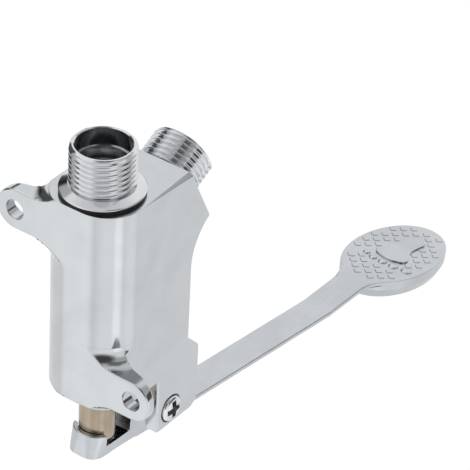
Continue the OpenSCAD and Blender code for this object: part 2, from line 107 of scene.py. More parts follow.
# %% A socket that does maths
class Sock:
    """One socket of a shader tree. Sums with it add Math nodes, and node() adds any other kind."""

    def __init__(self, tree, socket=None):
        self.tree, self.socket = tree, socket

    def node(self, kind, ins=None, out=0, **settings):
        made = self.tree.nodes.new("ShaderNode" + kind)
        for name, value in settings.items():
            setattr(made, name, value)
        for name, value in (ins or {}).items():
            if isinstance(value, Sock):
                self.tree.links.new(value.socket, made.inputs[name])
            else:
                made.inputs[name].default_value = value
        return Sock(self.tree, made.outputs[out])

    def maths(self, operation, first, second):
        return self.node("Math", {0: first, 1: second}, operation=operation)

    def __add__(self, other):
        return self.maths("ADD", self, other)

    def __mul__(self, other):
        return self.maths("MULTIPLY", self, other)

    def __rsub__(self, other):
        return self.maths("SUBTRACT", other, self)

    __radd__, __rmul__ = __add__, __mul__

    def step(self, low, high):
        """A soft step from 0 to 1 as this value goes from low to high."""
        ins = {"Value": self, "From Min": low, "From Max": high}
        return self.node("MapRange", ins, interpolation_type="SMOOTHSTEP")

    def blend(self, first, second):
        """A colour between two others, with this value as the share of the second."""
        return self.node("Mix", {0: self, 6: (*first, 1), 7: (*second, 1)}, out=2, data_type="RGBA")

    def along(self, direction):
        """How far this vector points along a direction."""
        return self.node("VectorMath", {0: self, 1: direction}, out="Value", operation="DOT_PRODUCT")

    def noise(self, scale, detail, stretch=(1, 1, 1)):
        """Noise on this position, with scale lumps in a metre, or more where it is stretched."""
        placed = self.node("Mapping", {"Vector": self, "Scale": [scale * s for s in stretch]})
        return self.node("TexNoise", {"Vector": placed, "Scale": 1.0, "Detail": detail})


print("shader maths ready")

# %% [markdown]
# ## Studio room
# The valve was photographed on pure white. Polished metal has no look of its own: it shows the room. So the
# room matters most here: soft and white all round, with a dark patch where the camera stood. Dark flags, as
# a photographer hangs them beside a shiny thing, give the thread and the rounded edges their dark lines.
# Lamps alone would leave the metal with too little to mirror.

# %% Room
# Each flag: the way to it, half its width, the end of its fading, its lower and its upper edge, all in
# degrees, and its darkness
FLAGS = (
    (94, 29, 39, 1, 23, 0.90),
    (54, 8, 17, 11, 20, 0.90),
    (76, 14, 30, 23, 42, 0.50),
    (-57, 27, 38, 1, 22.5, 0.90),
    (-64, 32, 54, 30, 50, 0.46),
    (-98, 20, 38, 54, 72, 0.75),
)
FADE_BELOW, FADE_ABOVE = 5, 6
ROOM_LEVEL, OVERHEAD_DIM, CAMERA_DIM = 0.96, 0.22, 0.93
bpy.context.scene.view_settings.view_transform = "Standard"


def sine(degrees):
    return math.sin(math.radians(degrees))


def compass(azimuth):
    """The level direction at an angle from +X."""
    return (sine(90 - azimuth), sine(azimuth), 0)


def level_way(place):
    """The level part of a direction, with length 1."""
    flat = place.node("VectorMath", {0: place, 1: (1, 1, 0)}, operation="MULTIPLY")
    return place.node("VectorMath", {0: flat}, operation="NORMALIZE")


def towards(way, azimuth, full, fade):
    """1 within an angle of a level direction, and 0 beyond the fade."""
    return way.along(compass(azimuth)).step(sine(90 - fade), sine(90 - full))


room = bpy.data.worlds.new("white_room")
bpy.context.scene.world = room
room.use_nodes = True
sky = Sock(room.node_tree)
gaze = sky.node("TexCoord", out="Generated")
seen_directly = sky.node("LightPath", out="Is Camera Ray")
near_camera = gaze.along(tuple(-forward)).step(0.80, 0.97)
height = gaze.along((0, 0, 1))
overhead = height.step(0.72, 0.96)
soft_room = (ROOM_LEVEL - OVERHEAD_DIM * overhead) * (1 - CAMERA_DIM * near_camera)
for azimuth, full, fade, low, high, dark in FLAGS:
    above_low = height.step(sine(low - FADE_BELOW), sine(low))
    above_high = height.step(sine(high), sine(high + FADE_ABOVE))
    flag = towards(level_way(gaze), azimuth, full, fade) * above_low * (1 - above_high)
    soft_room = soft_room * (1 - dark * flag)
level = seen_directly + (1 - seen_directly) * soft_room
backdrop = room.node_tree.nodes["Background"]
room.node_tree.links.new(level.socket, backdrop.inputs["Strength"])
backdrop.inputs["Color"].default_value = (1, 1, 1, 1)
print("room with", len(FLAGS), "flags")

# %% [markdown]
# ## Studio floor
# The upright faces mirror the floor, so it glows evenly in mirrors, with a few brighter strips that run out
# from below the valve. To the camera it is plain white paint, which still takes a shadow. One bright paint
# for both would hide the shadow, and two floors would be in each other's way.

# %% Floor and softbox
FLOOR_DROP = 0.34
FLOOR_SIZE = 8
FLOOR_GLOW, FLOOR_LIFT = 0.90, 0.5
# Each strip: the way to it and half its width in degrees, and its extra light
STRIPS = ((155, 30, 0.22), (-108, 15, 0.22), (-128, 50, 0.15), (-70, 22, 0.14))
LAMP_PLACE, LAMP_TARGET = Vector((0.5, 0.5, 1.1)), Vector((0.08, 0, 0))

bpy.ops.object.select_all(action="DESELECT")
bpy.ops.mesh.primitive_plane_add(size=FLOOR_SIZE, location=(0, 0, -FLOOR_DROP))
floor = bpy.context.object
floor.name = "floor"
bpy.ops.object.transform_apply(location=True, rotation=True, scale=True)
pale = bpy.data.materials.new("pale_floor")
pale.use_nodes = True
floor.data.materials.append(pale)
ground = Sock(pale.node_tree)
place = ground.node("TexCoord", out="Object")
glow = FLOOR_GLOW
for azimuth, half_width, extra in STRIPS:
    glow = towards(level_way(place), azimuth, 0, half_width) * extra + glow
mirrored = ground.node("LightPath", out="Is Glossy Ray")
direct = ground.node("LightPath", out="Is Camera Ray")
paint = ground.node("BsdfDiffuse", {"Color": (0.8, 0.8, 0.8, 1)})
lift = ground.node("Emission", {"Color": (1, 1, 1, 1), "Strength": FLOOR_LIFT * direct})
painted = ground.node("AddShader", {0: paint, 1: lift})
shine = ground.node("Emission", {"Color": (1, 1, 1, 1), "Strength": glow})
surface = ground.node("MixShader", {0: mirrored, 1: painted, 2: shine})
pale.node_tree.links.new(surface.socket, pale.node_tree.nodes["Material Output"].inputs["Surface"])

softbox = bpy.data.lights.new("softbox", "AREA")
softbox.shape = "DISK"
softbox.size = 0.7
softbox.energy = 0.7
lamp = bpy.data.objects.new("softbox", softbox)
bpy.context.scene.collection.objects.link(lamp)
lamp.location = LAMP_PLACE
lamp.rotation_euler = (LAMP_TARGET - LAMP_PLACE).to_track_quat("-Z", "Y").to_euler()
print("floor at", -FLOOR_DROP, "with", len(STRIPS), "bright strips, and a softbox above")

# %% [markdown]
# ## Chrome on the casting
# The body is cast brass that was ground, polished and plated. It could be one mirror colour, but hand
# polishing leaves slow waves, and plating leaves a faint haze that comes and goes. Slow noise bends the
# normal a little, and finer noise changes the roughness.

# %% Plated finishes
def finish(name):
    """A new material: itself, the place on the piece and a way to feed its shader."""
    material = bpy.data.materials.new(name + "_finish")
    material.use_nodes = True
    shader = material.node_tree.nodes["Principled BSDF"]

    def feed(**inputs):
        for socket_name, value in inputs.items():
            socket = shader.inputs[socket_name.replace("_", " ")]
            if isinstance(value, Sock):
                material.node_tree.links.new(value.socket, socket)
            else:
                socket.default_value = value

    return material, Sock(material.node_tree).node("TexCoord", out="Object"), feed


def relief(height, depth):
    """A normal bent by a height that is given from 0 to 1, for a depth in metres."""
    return height.node("Bump", {"Height": height, "Distance": depth, "Strength": 1.0})


def chrome(name, bright, dull, shine, haze, wave):
    material, spot, feed = finish(name)
    smudge = spot.noise(90, detail=4).step(0.35, 0.75)
    speck = spot.noise(1500, detail=1)
    feed(
        Metallic=1.0,
        Base_Color=smudge.blend(bright, dull),
        Roughness=shine + haze * smudge + 0.03 * speck,
        Normal=relief(spot.noise(130, detail=1) + 0.12 * speck, wave),
    )
    return material


CHROME = chrome(
    "chrome", bright=(0.606, 0.634, 0.654), dull=(0.572, 0.599, 0.620), shine=0.10, haze=0.05, wave=0.04 * MM,
)
POLISHED = chrome(
    "polished_chrome", bright=(0.73, 0.745, 0.765), dull=(0.67, 0.685, 0.706), shine=0.05, haze=0.04,
    wave=0.02 * MM,
)
print("made", CHROME.name, "and", POLISHED.name)

# %% [markdown]
# ## Satin pedal, plunger and inner metals
# The pedal is plated too, but over a tumbled casting, so it is softer and shows fine streaks. The plunger is
# a bare drawn rod: brown, with lines along its length. Each is the same recipe of noise, stretched along
# the way the metal was worked, in place of a picture of brushed metal.

# %% Worked metals
def worked_metal(name, bright, dark, rough, stretch, scale=900, depth=0.02 * MM):
    material, spot, feed = finish(name)
    streak = spot.noise(scale, detail=4, stretch=stretch)
    cloud = spot.noise(70, detail=3).step(0.3, 0.7)
    feed(
        Metallic=1.0,
        Base_Color=(0.55 * streak + 0.45 * cloud).step(0.25, 0.75).blend(bright, dark),
        Roughness=rough + 0.10 * streak + 0.05 * cloud,
        Normal=relief(streak, depth),
    )
    return material


SATIN = worked_metal(
    "satin_chrome", bright=(0.592, 0.618, 0.644), dark=(0.553, 0.578, 0.606), rough=0.20,
    stretch=(0.08, 1, 1), depth=0.005 * MM,
)
DRAWN = worked_metal(
    "plunger_brass", bright=(0.46, 0.385, 0.30), dark=(0.37, 0.30, 0.23), rough=0.22, stretch=(1, 1, 0.03),
)
BRASS = worked_metal(
    "brass", bright=(0.80, 0.62, 0.33), dark=(0.66, 0.49, 0.25), rough=0.24, stretch=(1, 1, 0.3), scale=700,
)
STEEL = worked_metal(
    "steel", bright=(0.56, 0.56, 0.57), dark=(0.45, 0.45, 0.47), rough=0.25, stretch=(1, 1, 0.3),
)
# A darker bored metal. Where it is put on walls that face into bores and hollows, it paints the shade there
BORED_AND_SHADED = worked_metal(
    "bored_metal_painted_shade", bright=(0.52, 0.53, 0.545), dark=(0.36, 0.366, 0.378), rough=0.12, stretch=(1, 1, 0.05),
)
print("made", [metal.name for metal in (SATIN, DRAWN, BRASS, STEEL, BORED_AND_SHADED)])

# %% [markdown]
# ## Rubber and nylon
# The seals are black rubber with a dull bloom, and the thrust washers are milky nylon. Neither is a metal, so
# their colour comes from below the surface, and a fine grain keeps the light from lying flat on them.

# %% Rubber and nylon
def soft_plastic(name, light, dark, rough, sheen, grain):
    material, spot, feed = finish(name)
    bloom = spot.noise(260, detail=4)
    pores = spot.noise(3000, detail=2)
    feed(
        Base_Color=bloom.step(0.3, 0.7).blend(dark, light),
        Roughness=rough + 0.12 * bloom,
        Specular_IOR_Level=sheen,
        Normal=relief(pores, grain),
    )
    return material


RUBBER = soft_plastic(
    "rubber", light=(0.028, 0.028, 0.030), dark=(0.012, 0.012, 0.013), rough=0.42, sheen=0.2, grain=0.03 * MM,
)
NYLON = soft_plastic(
    "nylon", light=(0.80, 0.79, 0.75), dark=(0.70, 0.69, 0.64), rough=0.35, sheen=0.5, grain=0.02 * MM,
)
FINISHES = {
    "chrome": CHROME, "polished_chrome": POLISHED, "satin_chrome": SATIN, "plunger_brass": DRAWN,
    "brass": BRASS, "steel": STEEL, "rubber": RUBBER, "nylon": NYLON,
}
for part in frame["record"]["subparts"]:
    solid = solids[part["node"]]
    solid.data.materials.clear()
    solid.data.materials.append(FINISHES[part["material_slot"]])
# The spring seat, deep in the bore, takes the darker bored metal, which paints the shade there
solids["spring_seat"].data.materials[0] = BORED_AND_SHADED
print("finishes:", sorted(FINISHES))

# %% [markdown]
# ## Working by hand, in code
# Blender's tools act on whatever is selected. These helpers select one piece, or all of its mesh in edit
# mode, and then run the tool, in the way a hand would click.

# %% Hand tools
def pick(piece):
    """Makes this the only selected piece."""
    bpy.ops.object.select_all(action="DESELECT")
    piece.select_set(True)
    bpy.context.view_layer.objects.active = piece
    return piece


def modify(piece, kind, **settings):
    """Adds a modifier and applies it."""
    pick(piece)
    modifier = piece.modifiers.new(kind, kind)
    for name, value in settings.items():
        setattr(modifier, name, value)
    bpy.ops.object.modifier_apply(modifier=modifier.name)
    return piece


def in_edit_mode(piece, *tools):
    """Selects all of a piece in edit mode and runs these tools, each a function with its settings."""
    pick(piece)
    bpy.ops.object.mode_set(mode="EDIT")
    bpy.ops.mesh.select_mode(type="VERT")
    bpy.ops.mesh.select_all(action="SELECT")
    for tool, settings in tools:
        tool(**settings)
    bpy.ops.object.mode_set(mode="OBJECT")
    return piece


SELECT_ALL = (bpy.ops.mesh.select_all, {"action": "SELECT"})
FACE_OUTWARDS = (bpy.ops.mesh.normals_make_consistent, {"inside": False})


def smooth(piece, degrees):
    """Shades a piece smooth, apart from the edges that turn by more than this."""
    pick(piece)
    bpy.ops.object.shade_smooth_by_angle(angle=math.radians(degrees))
    return piece


def hand_in(piece, body, slot, *replaced):
    """Gives a finished piece its finish, the body that it moves with and the solids that it stands for."""
    if not piece.data.materials:
        piece.data.materials.append(None)
    piece.data.materials[0] = FINISHES[slot]
    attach(piece, body)
    if replaced:
        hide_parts(*replaced)
    print(piece.name, "has", len(piece.data.polygons), "faces")


print("hand tools ready")

# %% [markdown]
# ## Rounding a casting
# A real casting has no sharp edge: polishing rounds it, and the round catches the light. A solid is copied
# and its triangles are merged into flat faces. Each edge then gets a bevel weight from its place and from
# the angle between its faces, and one Bevel modifier rounds them all. Rounding by a remesh would be quicker,
# but it ripples the flat faces, and a mirror shows every ripple.

# %% Copied solids and rounded edges
SHARP_TURN = 24


def copy_solid(node, name, cuts):
    """A new piece with a solid's shape, in flat faces that are kept cut along planes, each given by a point
    and a direction."""
    piece = bpy.data.objects.new(name, solids[node].data.copy())
    bpy.context.scene.collection.objects.link(piece)
    pick(piece)
    bpy.ops.mesh.customdata_custom_splitnormals_clear()
    bpy.ops.object.mode_set(mode="EDIT")
    bpy.ops.mesh.select_mode(type="VERT")
    bpy.ops.mesh.select_all(action="SELECT")
    bpy.ops.mesh.remove_doubles(threshold=0.05 * MM)
    for point, way in cuts:
        bpy.ops.mesh.select_all(action="SELECT")
        bpy.ops.mesh.bisect(plane_co=point, plane_no=way)
        bpy.ops.mesh.mark_seam()
    bpy.ops.mesh.select_all(action="SELECT")
    bpy.ops.mesh.dissolve_limited(angle_limit=math.radians(0.6), delimit={"SEAM"})
    bpy.ops.object.mode_set(mode="OBJECT")
    return piece


def edge_turns(mesh):
    """The middle and the turn in degrees of each edge, with an inside corner below zero."""
    sides = {}
    for face in mesh.polygons:
        ring = list(face.vertices)
        for start, end in zip(ring, ring[1:] + ring[:1]):
            sides.setdefault(frozenset((start, end)), []).append((face.normal, start, end))
    for edge in mesh.edges:
        (normal, start, end), (other, _, _) = sides[frozenset(edge.vertices)]
        start, end = mesh.vertices[start].co, mesh.vertices[end].co
        turn = math.degrees(normal.angle(other, 0))
        yield edge, (start + end) / 2, turn if normal.cross(other).dot(end - start) > 0 else -turn


def round_edges(piece, width, weigh):
    """Bevels each edge by its weight, which weigh(middle, turn) gives from 0 to 1."""
    weights = piece.data.attributes.new("bevel_weight_edge", "FLOAT", "EDGE")
    chosen = 0
    for edge, middle, turn in list(edge_turns(piece.data)):
        weight = weigh(middle, turn) if abs(turn) > SHARP_TURN else 0
        weights.data[edge.index].value = weight
        chosen += weight > 0
    modify(piece, "BEVEL", limit_method="WEIGHT", width=width, segments=3, use_clamp_overlap=False)
    smooth(piece, 38)
    modify(piece, "WEIGHTED_NORMAL", keep_sharp=True)
    print(piece.name, "has", chosen, "rounded edges")


print("rounding ready")

# %% [markdown]
# ## Valve casting
# The body takes the full rounding on its long corners and on the ears, and less on the top rim and round the
# holes. Edges of holes that other pieces sit in stay sharp, and so do the seams where an ear's curve runs out
# into the body, because a round there would show as a dark line. The seat of the pivot screw is a bored
# hollow in shade, so its faces get the darker bored metal, which paints that shade.

# %% Lines and places on the valve
OUT, ACROSS, UP = Vector((1, 0, 0)), Vector((0, 1, 0)), Vector((0, 0, 1))
MAIN_AXIS = Vector((INLET_X, 0, 0)) * MM
OUTLET = Vector((43.7, 0, 23.9)) * MM
OUTLET_TILT = 27
OUTLET_WAY = Vector((sine(90 - OUTLET_TILT), 0, sine(OUTLET_TILT)))
EAR_HOLES = [Vector((0, side * 22.75, side * 25.25)) * MM for side in (1, -1)]
hinge = next(joint for joint in frame["record"]["behaviour"]["joints"] if joint["name"] == "pedal_pivot")
PIVOT = Vector(hinge["pos_m"])


def off_line(point, start, way):
    """How far a point lies from a line, in millimetres."""
    return (point - start).cross(way).length / MM


print("pedal turns at", [round(v, 4) for v in PIVOT])

# %% Valve casting
CASTING_ROUND = 0.7
VALVE_R, OUTLET_R, SCREW_ZONE_R, EAR_HOLE_ZONE_R = 11.2, 9.0, 5.3, 6.2
TOP_RIM_Z, FACET_Z, FACET_Y = 34.9, 33.5, 13.0
FOOT_X, FOOT_Z, FOOT_TURN = 13.0, -35.7, 70
EAR_CURVE_END, EAR_ROOT_Y, EAR_SEAM_TURN = 12.86, 8.0, 30
CHEEK_Y, SCREW_SEAT_Y, SCREW_SEAT_R = -15.2, -13.8, 4.9


def casting_weight(middle, turn):
    """The share of the full rounding for an edge of the casting."""
    x, y, z = middle.x / MM, abs(middle.y) / MM, middle.z / MM
    in_valve = off_line(middle, MAIN_AXIS, UP) < VALVE_R
    in_outlet = off_line(middle, OUTLET, OUTLET_WAY) < OUTLET_R
    on_foot = x < FOOT_X and z < FOOT_Z and turn < FOOT_TURN
    on_ear_seam = abs(abs(z) - EAR_CURVE_END) < 0.1 or (turn < EAR_SEAM_TURN and y > EAR_ROOT_Y)
    if turn < 0 or in_valve or in_outlet or on_foot or on_ear_seam:
        return 0
    if z > TOP_RIM_Z or (z > FACET_Z and y > FACET_Y):
        return 0.12
    if off_line(middle, PIVOT, ACROSS) < SCREW_ZONE_R:
        return 0.25 if y > abs(CHEEK_Y) - 0.2 else 0
    if any(off_line(middle, hole, OUT) < EAR_HOLE_ZONE_R for hole in EAR_HOLES):
        return 0.4
    return 1


# Cuts through the middle of every hole, so that no flat face runs round one
HOLE_CUTS = [
    (MAIN_AXIS, OUT), (MAIN_AXIS, ACROSS), (EAR_HOLES[0], UP), (EAR_HOLES[1], UP), (PIVOT, OUT), (PIVOT, UP),
]
casting = copy_solid("body", "casting", HOLE_CUTS)
round_edges(casting, CASTING_ROUND * MM, casting_weight)
# The faces of the screw's seat get the darker bored metal: painted shade in that hollow
for face in casting.data.polygons:
    at_depth = CHEEK_Y + 0.2 < face.center.y / MM < SCREW_SEAT_Y + 0.1
    face.material_index = int(at_depth and off_line(face.center, PIVOT, ACROSS) < SCREW_SEAT_R + 0.05)
hand_in(casting, "valve_body", "chrome", "body")
casting.data.materials.append(BORED_AND_SHADED)

# %% [markdown]
# ## Pedal casting
# The pedal is one casting: a toe under the plunger, a lug on the pivot, a long arm and an oval pad. It takes
# the same rounding, a little smaller, and smaller again on the pad and on the toe's edge beside the plunger.
# The hole for the bush keeps its edge.

# %% Pedal
PEDAL_ROUND = 0.5
BUSH_ZONE_R, TOE_ZONE_R, PAD_START = 4.6, 6.5, 158.0


def pedal_weight(middle, turn):
    """The share of the full rounding for an edge of the pedal."""
    if turn < 0 or off_line(middle, PIVOT, ACROSS) < BUSH_ZONE_R:
        return 0
    if middle.x / MM > PAD_START:
        return 0.35
    return 0.2 if off_line(middle, MAIN_AXIS, UP) < TOE_ZONE_R else 1


pedal = copy_solid("pedal", "pedal_casting", [(PIVOT, OUT), (PIVOT, UP)])
round_edges(pedal, PEDAL_ROUND * MM, pedal_weight)
hand_in(pedal, "foot_lever", "satin_chrome", "pedal")

# %% [markdown]
# ## Turning on the lathe
# The nipples and the screw are turned parts. A lathe is easy to copy: half of the outline is drawn point by
# point, by extruding one vertex, and then spun round the axis. The seam is merged and the faces are turned
# to look outwards.

# %% Lathe
LATHE_STEPS = 96


def outline(name, points):
    """A thin line through these points, in millimetres, drawn by extruding one vertex."""
    bpy.ops.object.select_all(action="DESELECT")
    bpy.ops.mesh.primitive_plane_add(size=MM, location=(0, 0, 0))
    piece = bpy.context.object
    piece.name = name
    places = [Vector(point) * MM for point in points]
    bpy.ops.object.mode_set(mode="EDIT")
    bpy.ops.mesh.merge(type="CENTER")
    bpy.ops.transform.translate(value=places[0])
    for before, after in zip(places, places[1:]):
        bpy.ops.mesh.extrude_region_move(TRANSFORM_OT_translate={"value": after - before})
    bpy.ops.object.mode_set(mode="OBJECT")
    return piece


def turned(name, profile):
    """A solid turned round the upright axis from its half outline of radius and height."""
    spin = {"steps": LATHE_STEPS, "angle": math.tau, "center": (0, 0, 0), "axis": (0, 0, 1)}
    return in_edit_mode(
        outline(name, [(radius, 0, height) for radius, height in profile]),
        (bpy.ops.mesh.spin, spin),
        SELECT_ALL,
        (bpy.ops.mesh.remove_doubles, {"threshold": 0.001 * MM}),
        FACE_OUTWARDS,
    )


def combine(piece, operation, tool):
    """Joins, cuts or trims a piece with another, which is then thrown away."""
    modify(piece, "BOOLEAN", operation=operation, object=tool, solver="EXACT")
    bpy.data.objects.remove(tool)
    return piece


def put(piece, place):
    """Moves a piece and keeps its object at the origin, with the place in its mesh."""
    pick(piece)
    piece.matrix_world = place
    bpy.ops.object.transform_apply(location=True, rotation=True, scale=True)
    return piece


print("lathe ready")

# %% [markdown]
# ## Pipe thread
# A pipe thread is one ridge that winds round the nipple. Rings would look right from afar, but their ends
# never meet the rim at a slant. So one pitch of the ridge is drawn, the Screw modifier winds it, and the
# result is trimmed by a turned blank with the chamfer at its end. The solids keep rings, which are easier
# to mate.

# %% Threaded rod
THREAD_R, THREAD_DEPTH, THREAD_PITCH = 10.4775, 1.16, 1.814
THREAD_STEPS, TURNS_BELOW = 72, 2
GROOVE_TOP, THREAD_START, THREAD_CHAMFER = 0.75, 1.9, 1.1
# The ridge over one pitch: the share of the pitch and the share of the depth
RIDGE = (
    (0.00, 0.00), (0.07, 0.02), (0.14, 0.14), (0.36, 0.86), (0.43, 0.98), (0.50, 1.00),
    (0.57, 0.98), (0.64, 0.86), (0.86, 0.14), (0.93, 0.02), (1.00, 0.00),
)


def thread(name, length):
    """A threaded rod from height 0 up, with a groove at its foot and a chamfer at its end."""
    root = THREAD_R - THREAD_DEPTH
    rod = outline(name, [
        (root + THREAD_DEPTH * rise, 0, THREAD_PITCH * (share - TURNS_BELOW)) for share, rise in RIDGE
    ])
    modify(
        rod, "SCREW", angle=math.tau, screw_offset=THREAD_PITCH * MM, steps=THREAD_STEPS,
        render_steps=THREAD_STEPS, iterations=math.ceil(length / THREAD_PITCH) + 2 * TURNS_BELOW,
        use_merge_vertices=True, merge_threshold=0.001 * MM,
    )
    in_edit_mode(
        rod,
        (bpy.ops.mesh.remove_doubles, {"threshold": 0.002 * MM}),
        SELECT_ALL,
        (bpy.ops.mesh.fill_holes, {"sides": 0}),
        SELECT_ALL,
        FACE_OUTWARDS,
    )
    groove, over = root - 0.1, THREAD_R + 0.2
    blank = turned("blank", [
        (0, 0), (groove, 0), (groove, GROOVE_TOP), (over, THREAD_START), (over, length - THREAD_CHAMFER),
        (over - THREAD_CHAMFER, length), (0, length),
    ])
    return combine(rod, "INTERSECT", blank)


print("thread ready, pitch", THREAD_PITCH, "mm")

# %% [markdown]
# ## Nipples
# Each nipple is the threaded rod with a turned foot, and a stepped water way bored through both. The inlet's
# foot spreads into a cone-shaped collar on the seal. The bore could be left in the plating's finish, but its
# walls that face inwards lie in shade, so they get the darker bored metal, which paints that shade.

# %% Nipples
BORE_R, MOUTH_R, MOUTH_DEPTH = 7.0, 8.75, 6.4
LEDGE, TAPER, MOUTH_CHAMFER, OVERSHOOT = 0.45, 3.4, 0.3, 0.5
SPIGOT_R, COLLAR_R = 8.7, 13.4
INLET_LENGTH, INLET_SPIGOT = 14.6, -10.2
OUTLET_LENGTH, OUTLET_SPIGOT = 12.3, -8
INLET_FOOT = [
    (0, INLET_SPIGOT), (SPIGOT_R, INLET_SPIGOT), (SPIGOT_R, -1.2), (COLLAR_R - 0.3, -1.2), (COLLAR_R, -0.95),
    (COLLAR_R, -0.7), (COLLAR_R - 0.2, -0.5), (COLLAR_R - 0.3, -0.455), (10.65, 0.585), (10.55, 0.63),
    (10.2, 0.65), (9.2, 0.6), (0, 0.6),
]
OUTLET_FOOT = [(0, OUTLET_SPIGOT), (SPIGOT_R, OUTLET_SPIGOT), (SPIGOT_R, 0.3), (0, 0.3)]


def nipple(name, node, length, foot, place):
    """A threaded nipple: the rod, its turned foot and the stepped water way."""
    piece = combine(thread(name, length), "UNION", turned("foot", foot))
    below, ledge_height = foot[0][1] - 1, length - MOUTH_DEPTH
    rim_r = MOUTH_R + MOUTH_CHAMFER
    way = turned("way", [
        (0, below), (BORE_R, below), (BORE_R, ledge_height - TAPER), (MOUTH_R - LEDGE, ledge_height),
        (MOUTH_R, ledge_height), (MOUTH_R, length - MOUTH_CHAMFER), (rim_r, length),
        (rim_r + OVERSHOOT, length + OVERSHOOT), (0, length + OVERSHOOT),
    ])
    combine(piece, "DIFFERENCE", way)
    in_edit_mode(
        piece,
        (bpy.ops.mesh.remove_doubles, {"threshold": 0.002 * MM}),
        SELECT_ALL,
        (bpy.ops.mesh.dissolve_degenerate, {"threshold": 0.001 * MM}),
    )
    # Walls that face into the bore get the darker bored metal: painted shade inside the water way
    for face in piece.data.polygons:
        spoke = Vector((face.center.x, face.center.y, 0))
        faces_inwards = spoke.dot(face.normal) < 0
        face.material_index = int(faces_inwards and spoke.length < (MOUTH_R + 0.1) * MM)
    put(smooth(piece, 40), place)
    hand_in(piece, "valve_body", "polished_chrome", node)
    piece.data.materials.append(BORED_AND_SHADED)


upward = Matrix.Translation(Vector((INLET_X, 0, INLET_TOP - INLET_LENGTH)) * MM)
tilted = Matrix.Translation(OUTLET) @ Matrix.Rotation(math.radians(90 - OUTLET_TILT), 4, "Y")
nipple("threaded_inlet", "inlet_nipple", INLET_LENGTH, INLET_FOOT, upward)
nipple("threaded_outlet", "outlet_nipple", OUTLET_LENGTH, OUTLET_FOOT, tilted)

# %% [markdown]
# ## Pivot screw
# The pedal turns on a screw whose pan head stands above the near cheek. The head is turned with a low dome,
# and the cross is cut by two crossed wedges. A flat disc with a painted cross would not catch the light at
# its rim.

# %% Pivot screw
HEAD_TOP, HEAD_R, SHANK_R, SCREW_END = 2.9, 4.4, 3.0, -28.6
SLOT_LENGTH, SLOT_WIDTH, SLOT_DEPTH = 7.4, 2.2, 2.2


def wedge(name, length, width, depth, top):
    """A slot cutter, narrower at its bottom, along X and below a height."""
    bpy.ops.object.select_all(action="DESELECT")
    bpy.ops.mesh.primitive_cube_add(size=MM, location=(0, 0, (top - depth / 2 + 0.25) * MM))
    piece = bpy.context.object
    piece.name = name
    piece.scale = (length, width, depth + 0.5)
    bpy.ops.object.transform_apply(location=True, rotation=True, scale=True)
    lowest = min(corner.co.z for corner in piece.data.vertices)
    for corner in piece.data.vertices:
        if corner.co.z < lowest + 0.01 * MM:
            corner.co.x *= 0.55
            corner.co.y *= 0.7
    return piece


screw = turned("cross_screw", [
    (0, SCREW_END), (SHANK_R - 0.3, SCREW_END), (SHANK_R, SCREW_END + 0.4), (SHANK_R, 0), (HEAD_R - 0.1, 0),
    (HEAD_R, 0.1), (HEAD_R, 1.6), (4.28, 1.95), (3.98, 2.25), (3.4, 2.52), (2.35, 2.76), (1.2, 2.87),
    (0, HEAD_TOP),
])
for quarter in (0, 90):
    cutter = wedge("cutter", SLOT_LENGTH, SLOT_WIDTH, SLOT_DEPTH, HEAD_TOP)
    put(cutter, Matrix.Rotation(math.radians(quarter), 4, "Z"))
    combine(screw, "DIFFERENCE", cutter)
# The walls and floor of the cross get the darker bored metal, which paints the shade in the slot
for face in screw.data.polygons:
    reach, depth = math.hypot(face.center.x, face.center.y) / MM, face.center.z / MM
    slot_wall = reach < 3.9 and face.normal.z < 0.9
    slot_floor = reach < 3.5 and depth < 2.2
    face.material_index = int(depth > 0.3 and (slot_wall or slot_floor))
seat = Matrix.Translation(PIVOT + Vector((0, SCREW_SEAT_Y, 0)) * MM)
put(smooth(screw, 35), seat @ Matrix.Rotation(math.radians(90), 4, "X"))
hand_in(screw, "valve_body", "polished_chrome", "pivot_screw")
screw.data.materials.append(BORED_AND_SHADED)

# %% [markdown]
# ## Studs and toes
# The pad is covered with low square studs, set cornerwise in rows, which keep a wet shoe from slipping, and a
# raised footprint shows where to step. Each form is modelled once, in the lever's own frame, where the pad is
# level. A stud has only a few dozen faces, because there are so many of them.

# %% Studs, domes and joining
LEVER_SLOPE = 7.6
LEVER = Matrix.Translation(PIVOT) @ Matrix.Rotation(math.radians(LEVER_SLOPE), 4, "Y")
PAD_X, PAD_LENGTH, PAD_WIDTH, PAD_TOP = 154.4, 49.4, 31.0, -9.9
SINK = 0.1


def dome(name, x, y, wide, long, high):
    """A low closed dome on the pad."""
    bpy.ops.object.select_all(action="DESELECT")
    bpy.ops.mesh.primitive_uv_sphere_add(segments=12, ring_count=8, radius=MM)
    piece = bpy.context.object
    piece.name = name
    piece.scale = (long, wide, high)
    piece.location = Vector((x, y, PAD_TOP)) * MM
    bpy.ops.object.transform_apply(location=True, rotation=True, scale=True)
    below_pad = {"plane_co": (0, 0, (PAD_TOP - SINK) * MM), "plane_no": (0, 0, -1)}
    return in_edit_mode(piece, (bpy.ops.mesh.bisect, {**below_pad, "use_fill": True, "clear_outer": True}))


def stud(name, x, y, half, high):
    """A low square stud with sloping sides, its corners along X and Y: a four-sided cone without its tip."""
    bpy.ops.object.select_all(action="DESELECT")
    bpy.ops.mesh.primitive_cone_add(
        vertices=4, radius1=half * MM, radius2=(half - 1.3 * high) * MM, depth=(high + SINK) * MM,
        location=Vector((x, y, PAD_TOP + (high - SINK) / 2)) * MM,
    )
    piece = bpy.context.object
    piece.name = name
    bpy.ops.object.transform_apply(location=True, rotation=True, scale=True)
    return modify(piece, "BEVEL", width=0.06 * MM, segments=1, limit_method="NONE")


def copy_of(piece, step):
    """The same shape with a mesh of its own, moved by a step in millimetres."""
    twin = bpy.data.objects.new(piece.name, piece.data.copy())
    bpy.context.scene.collection.objects.link(twin)
    twin.data.transform(Matrix.Translation(Vector(step) * MM))
    return twin


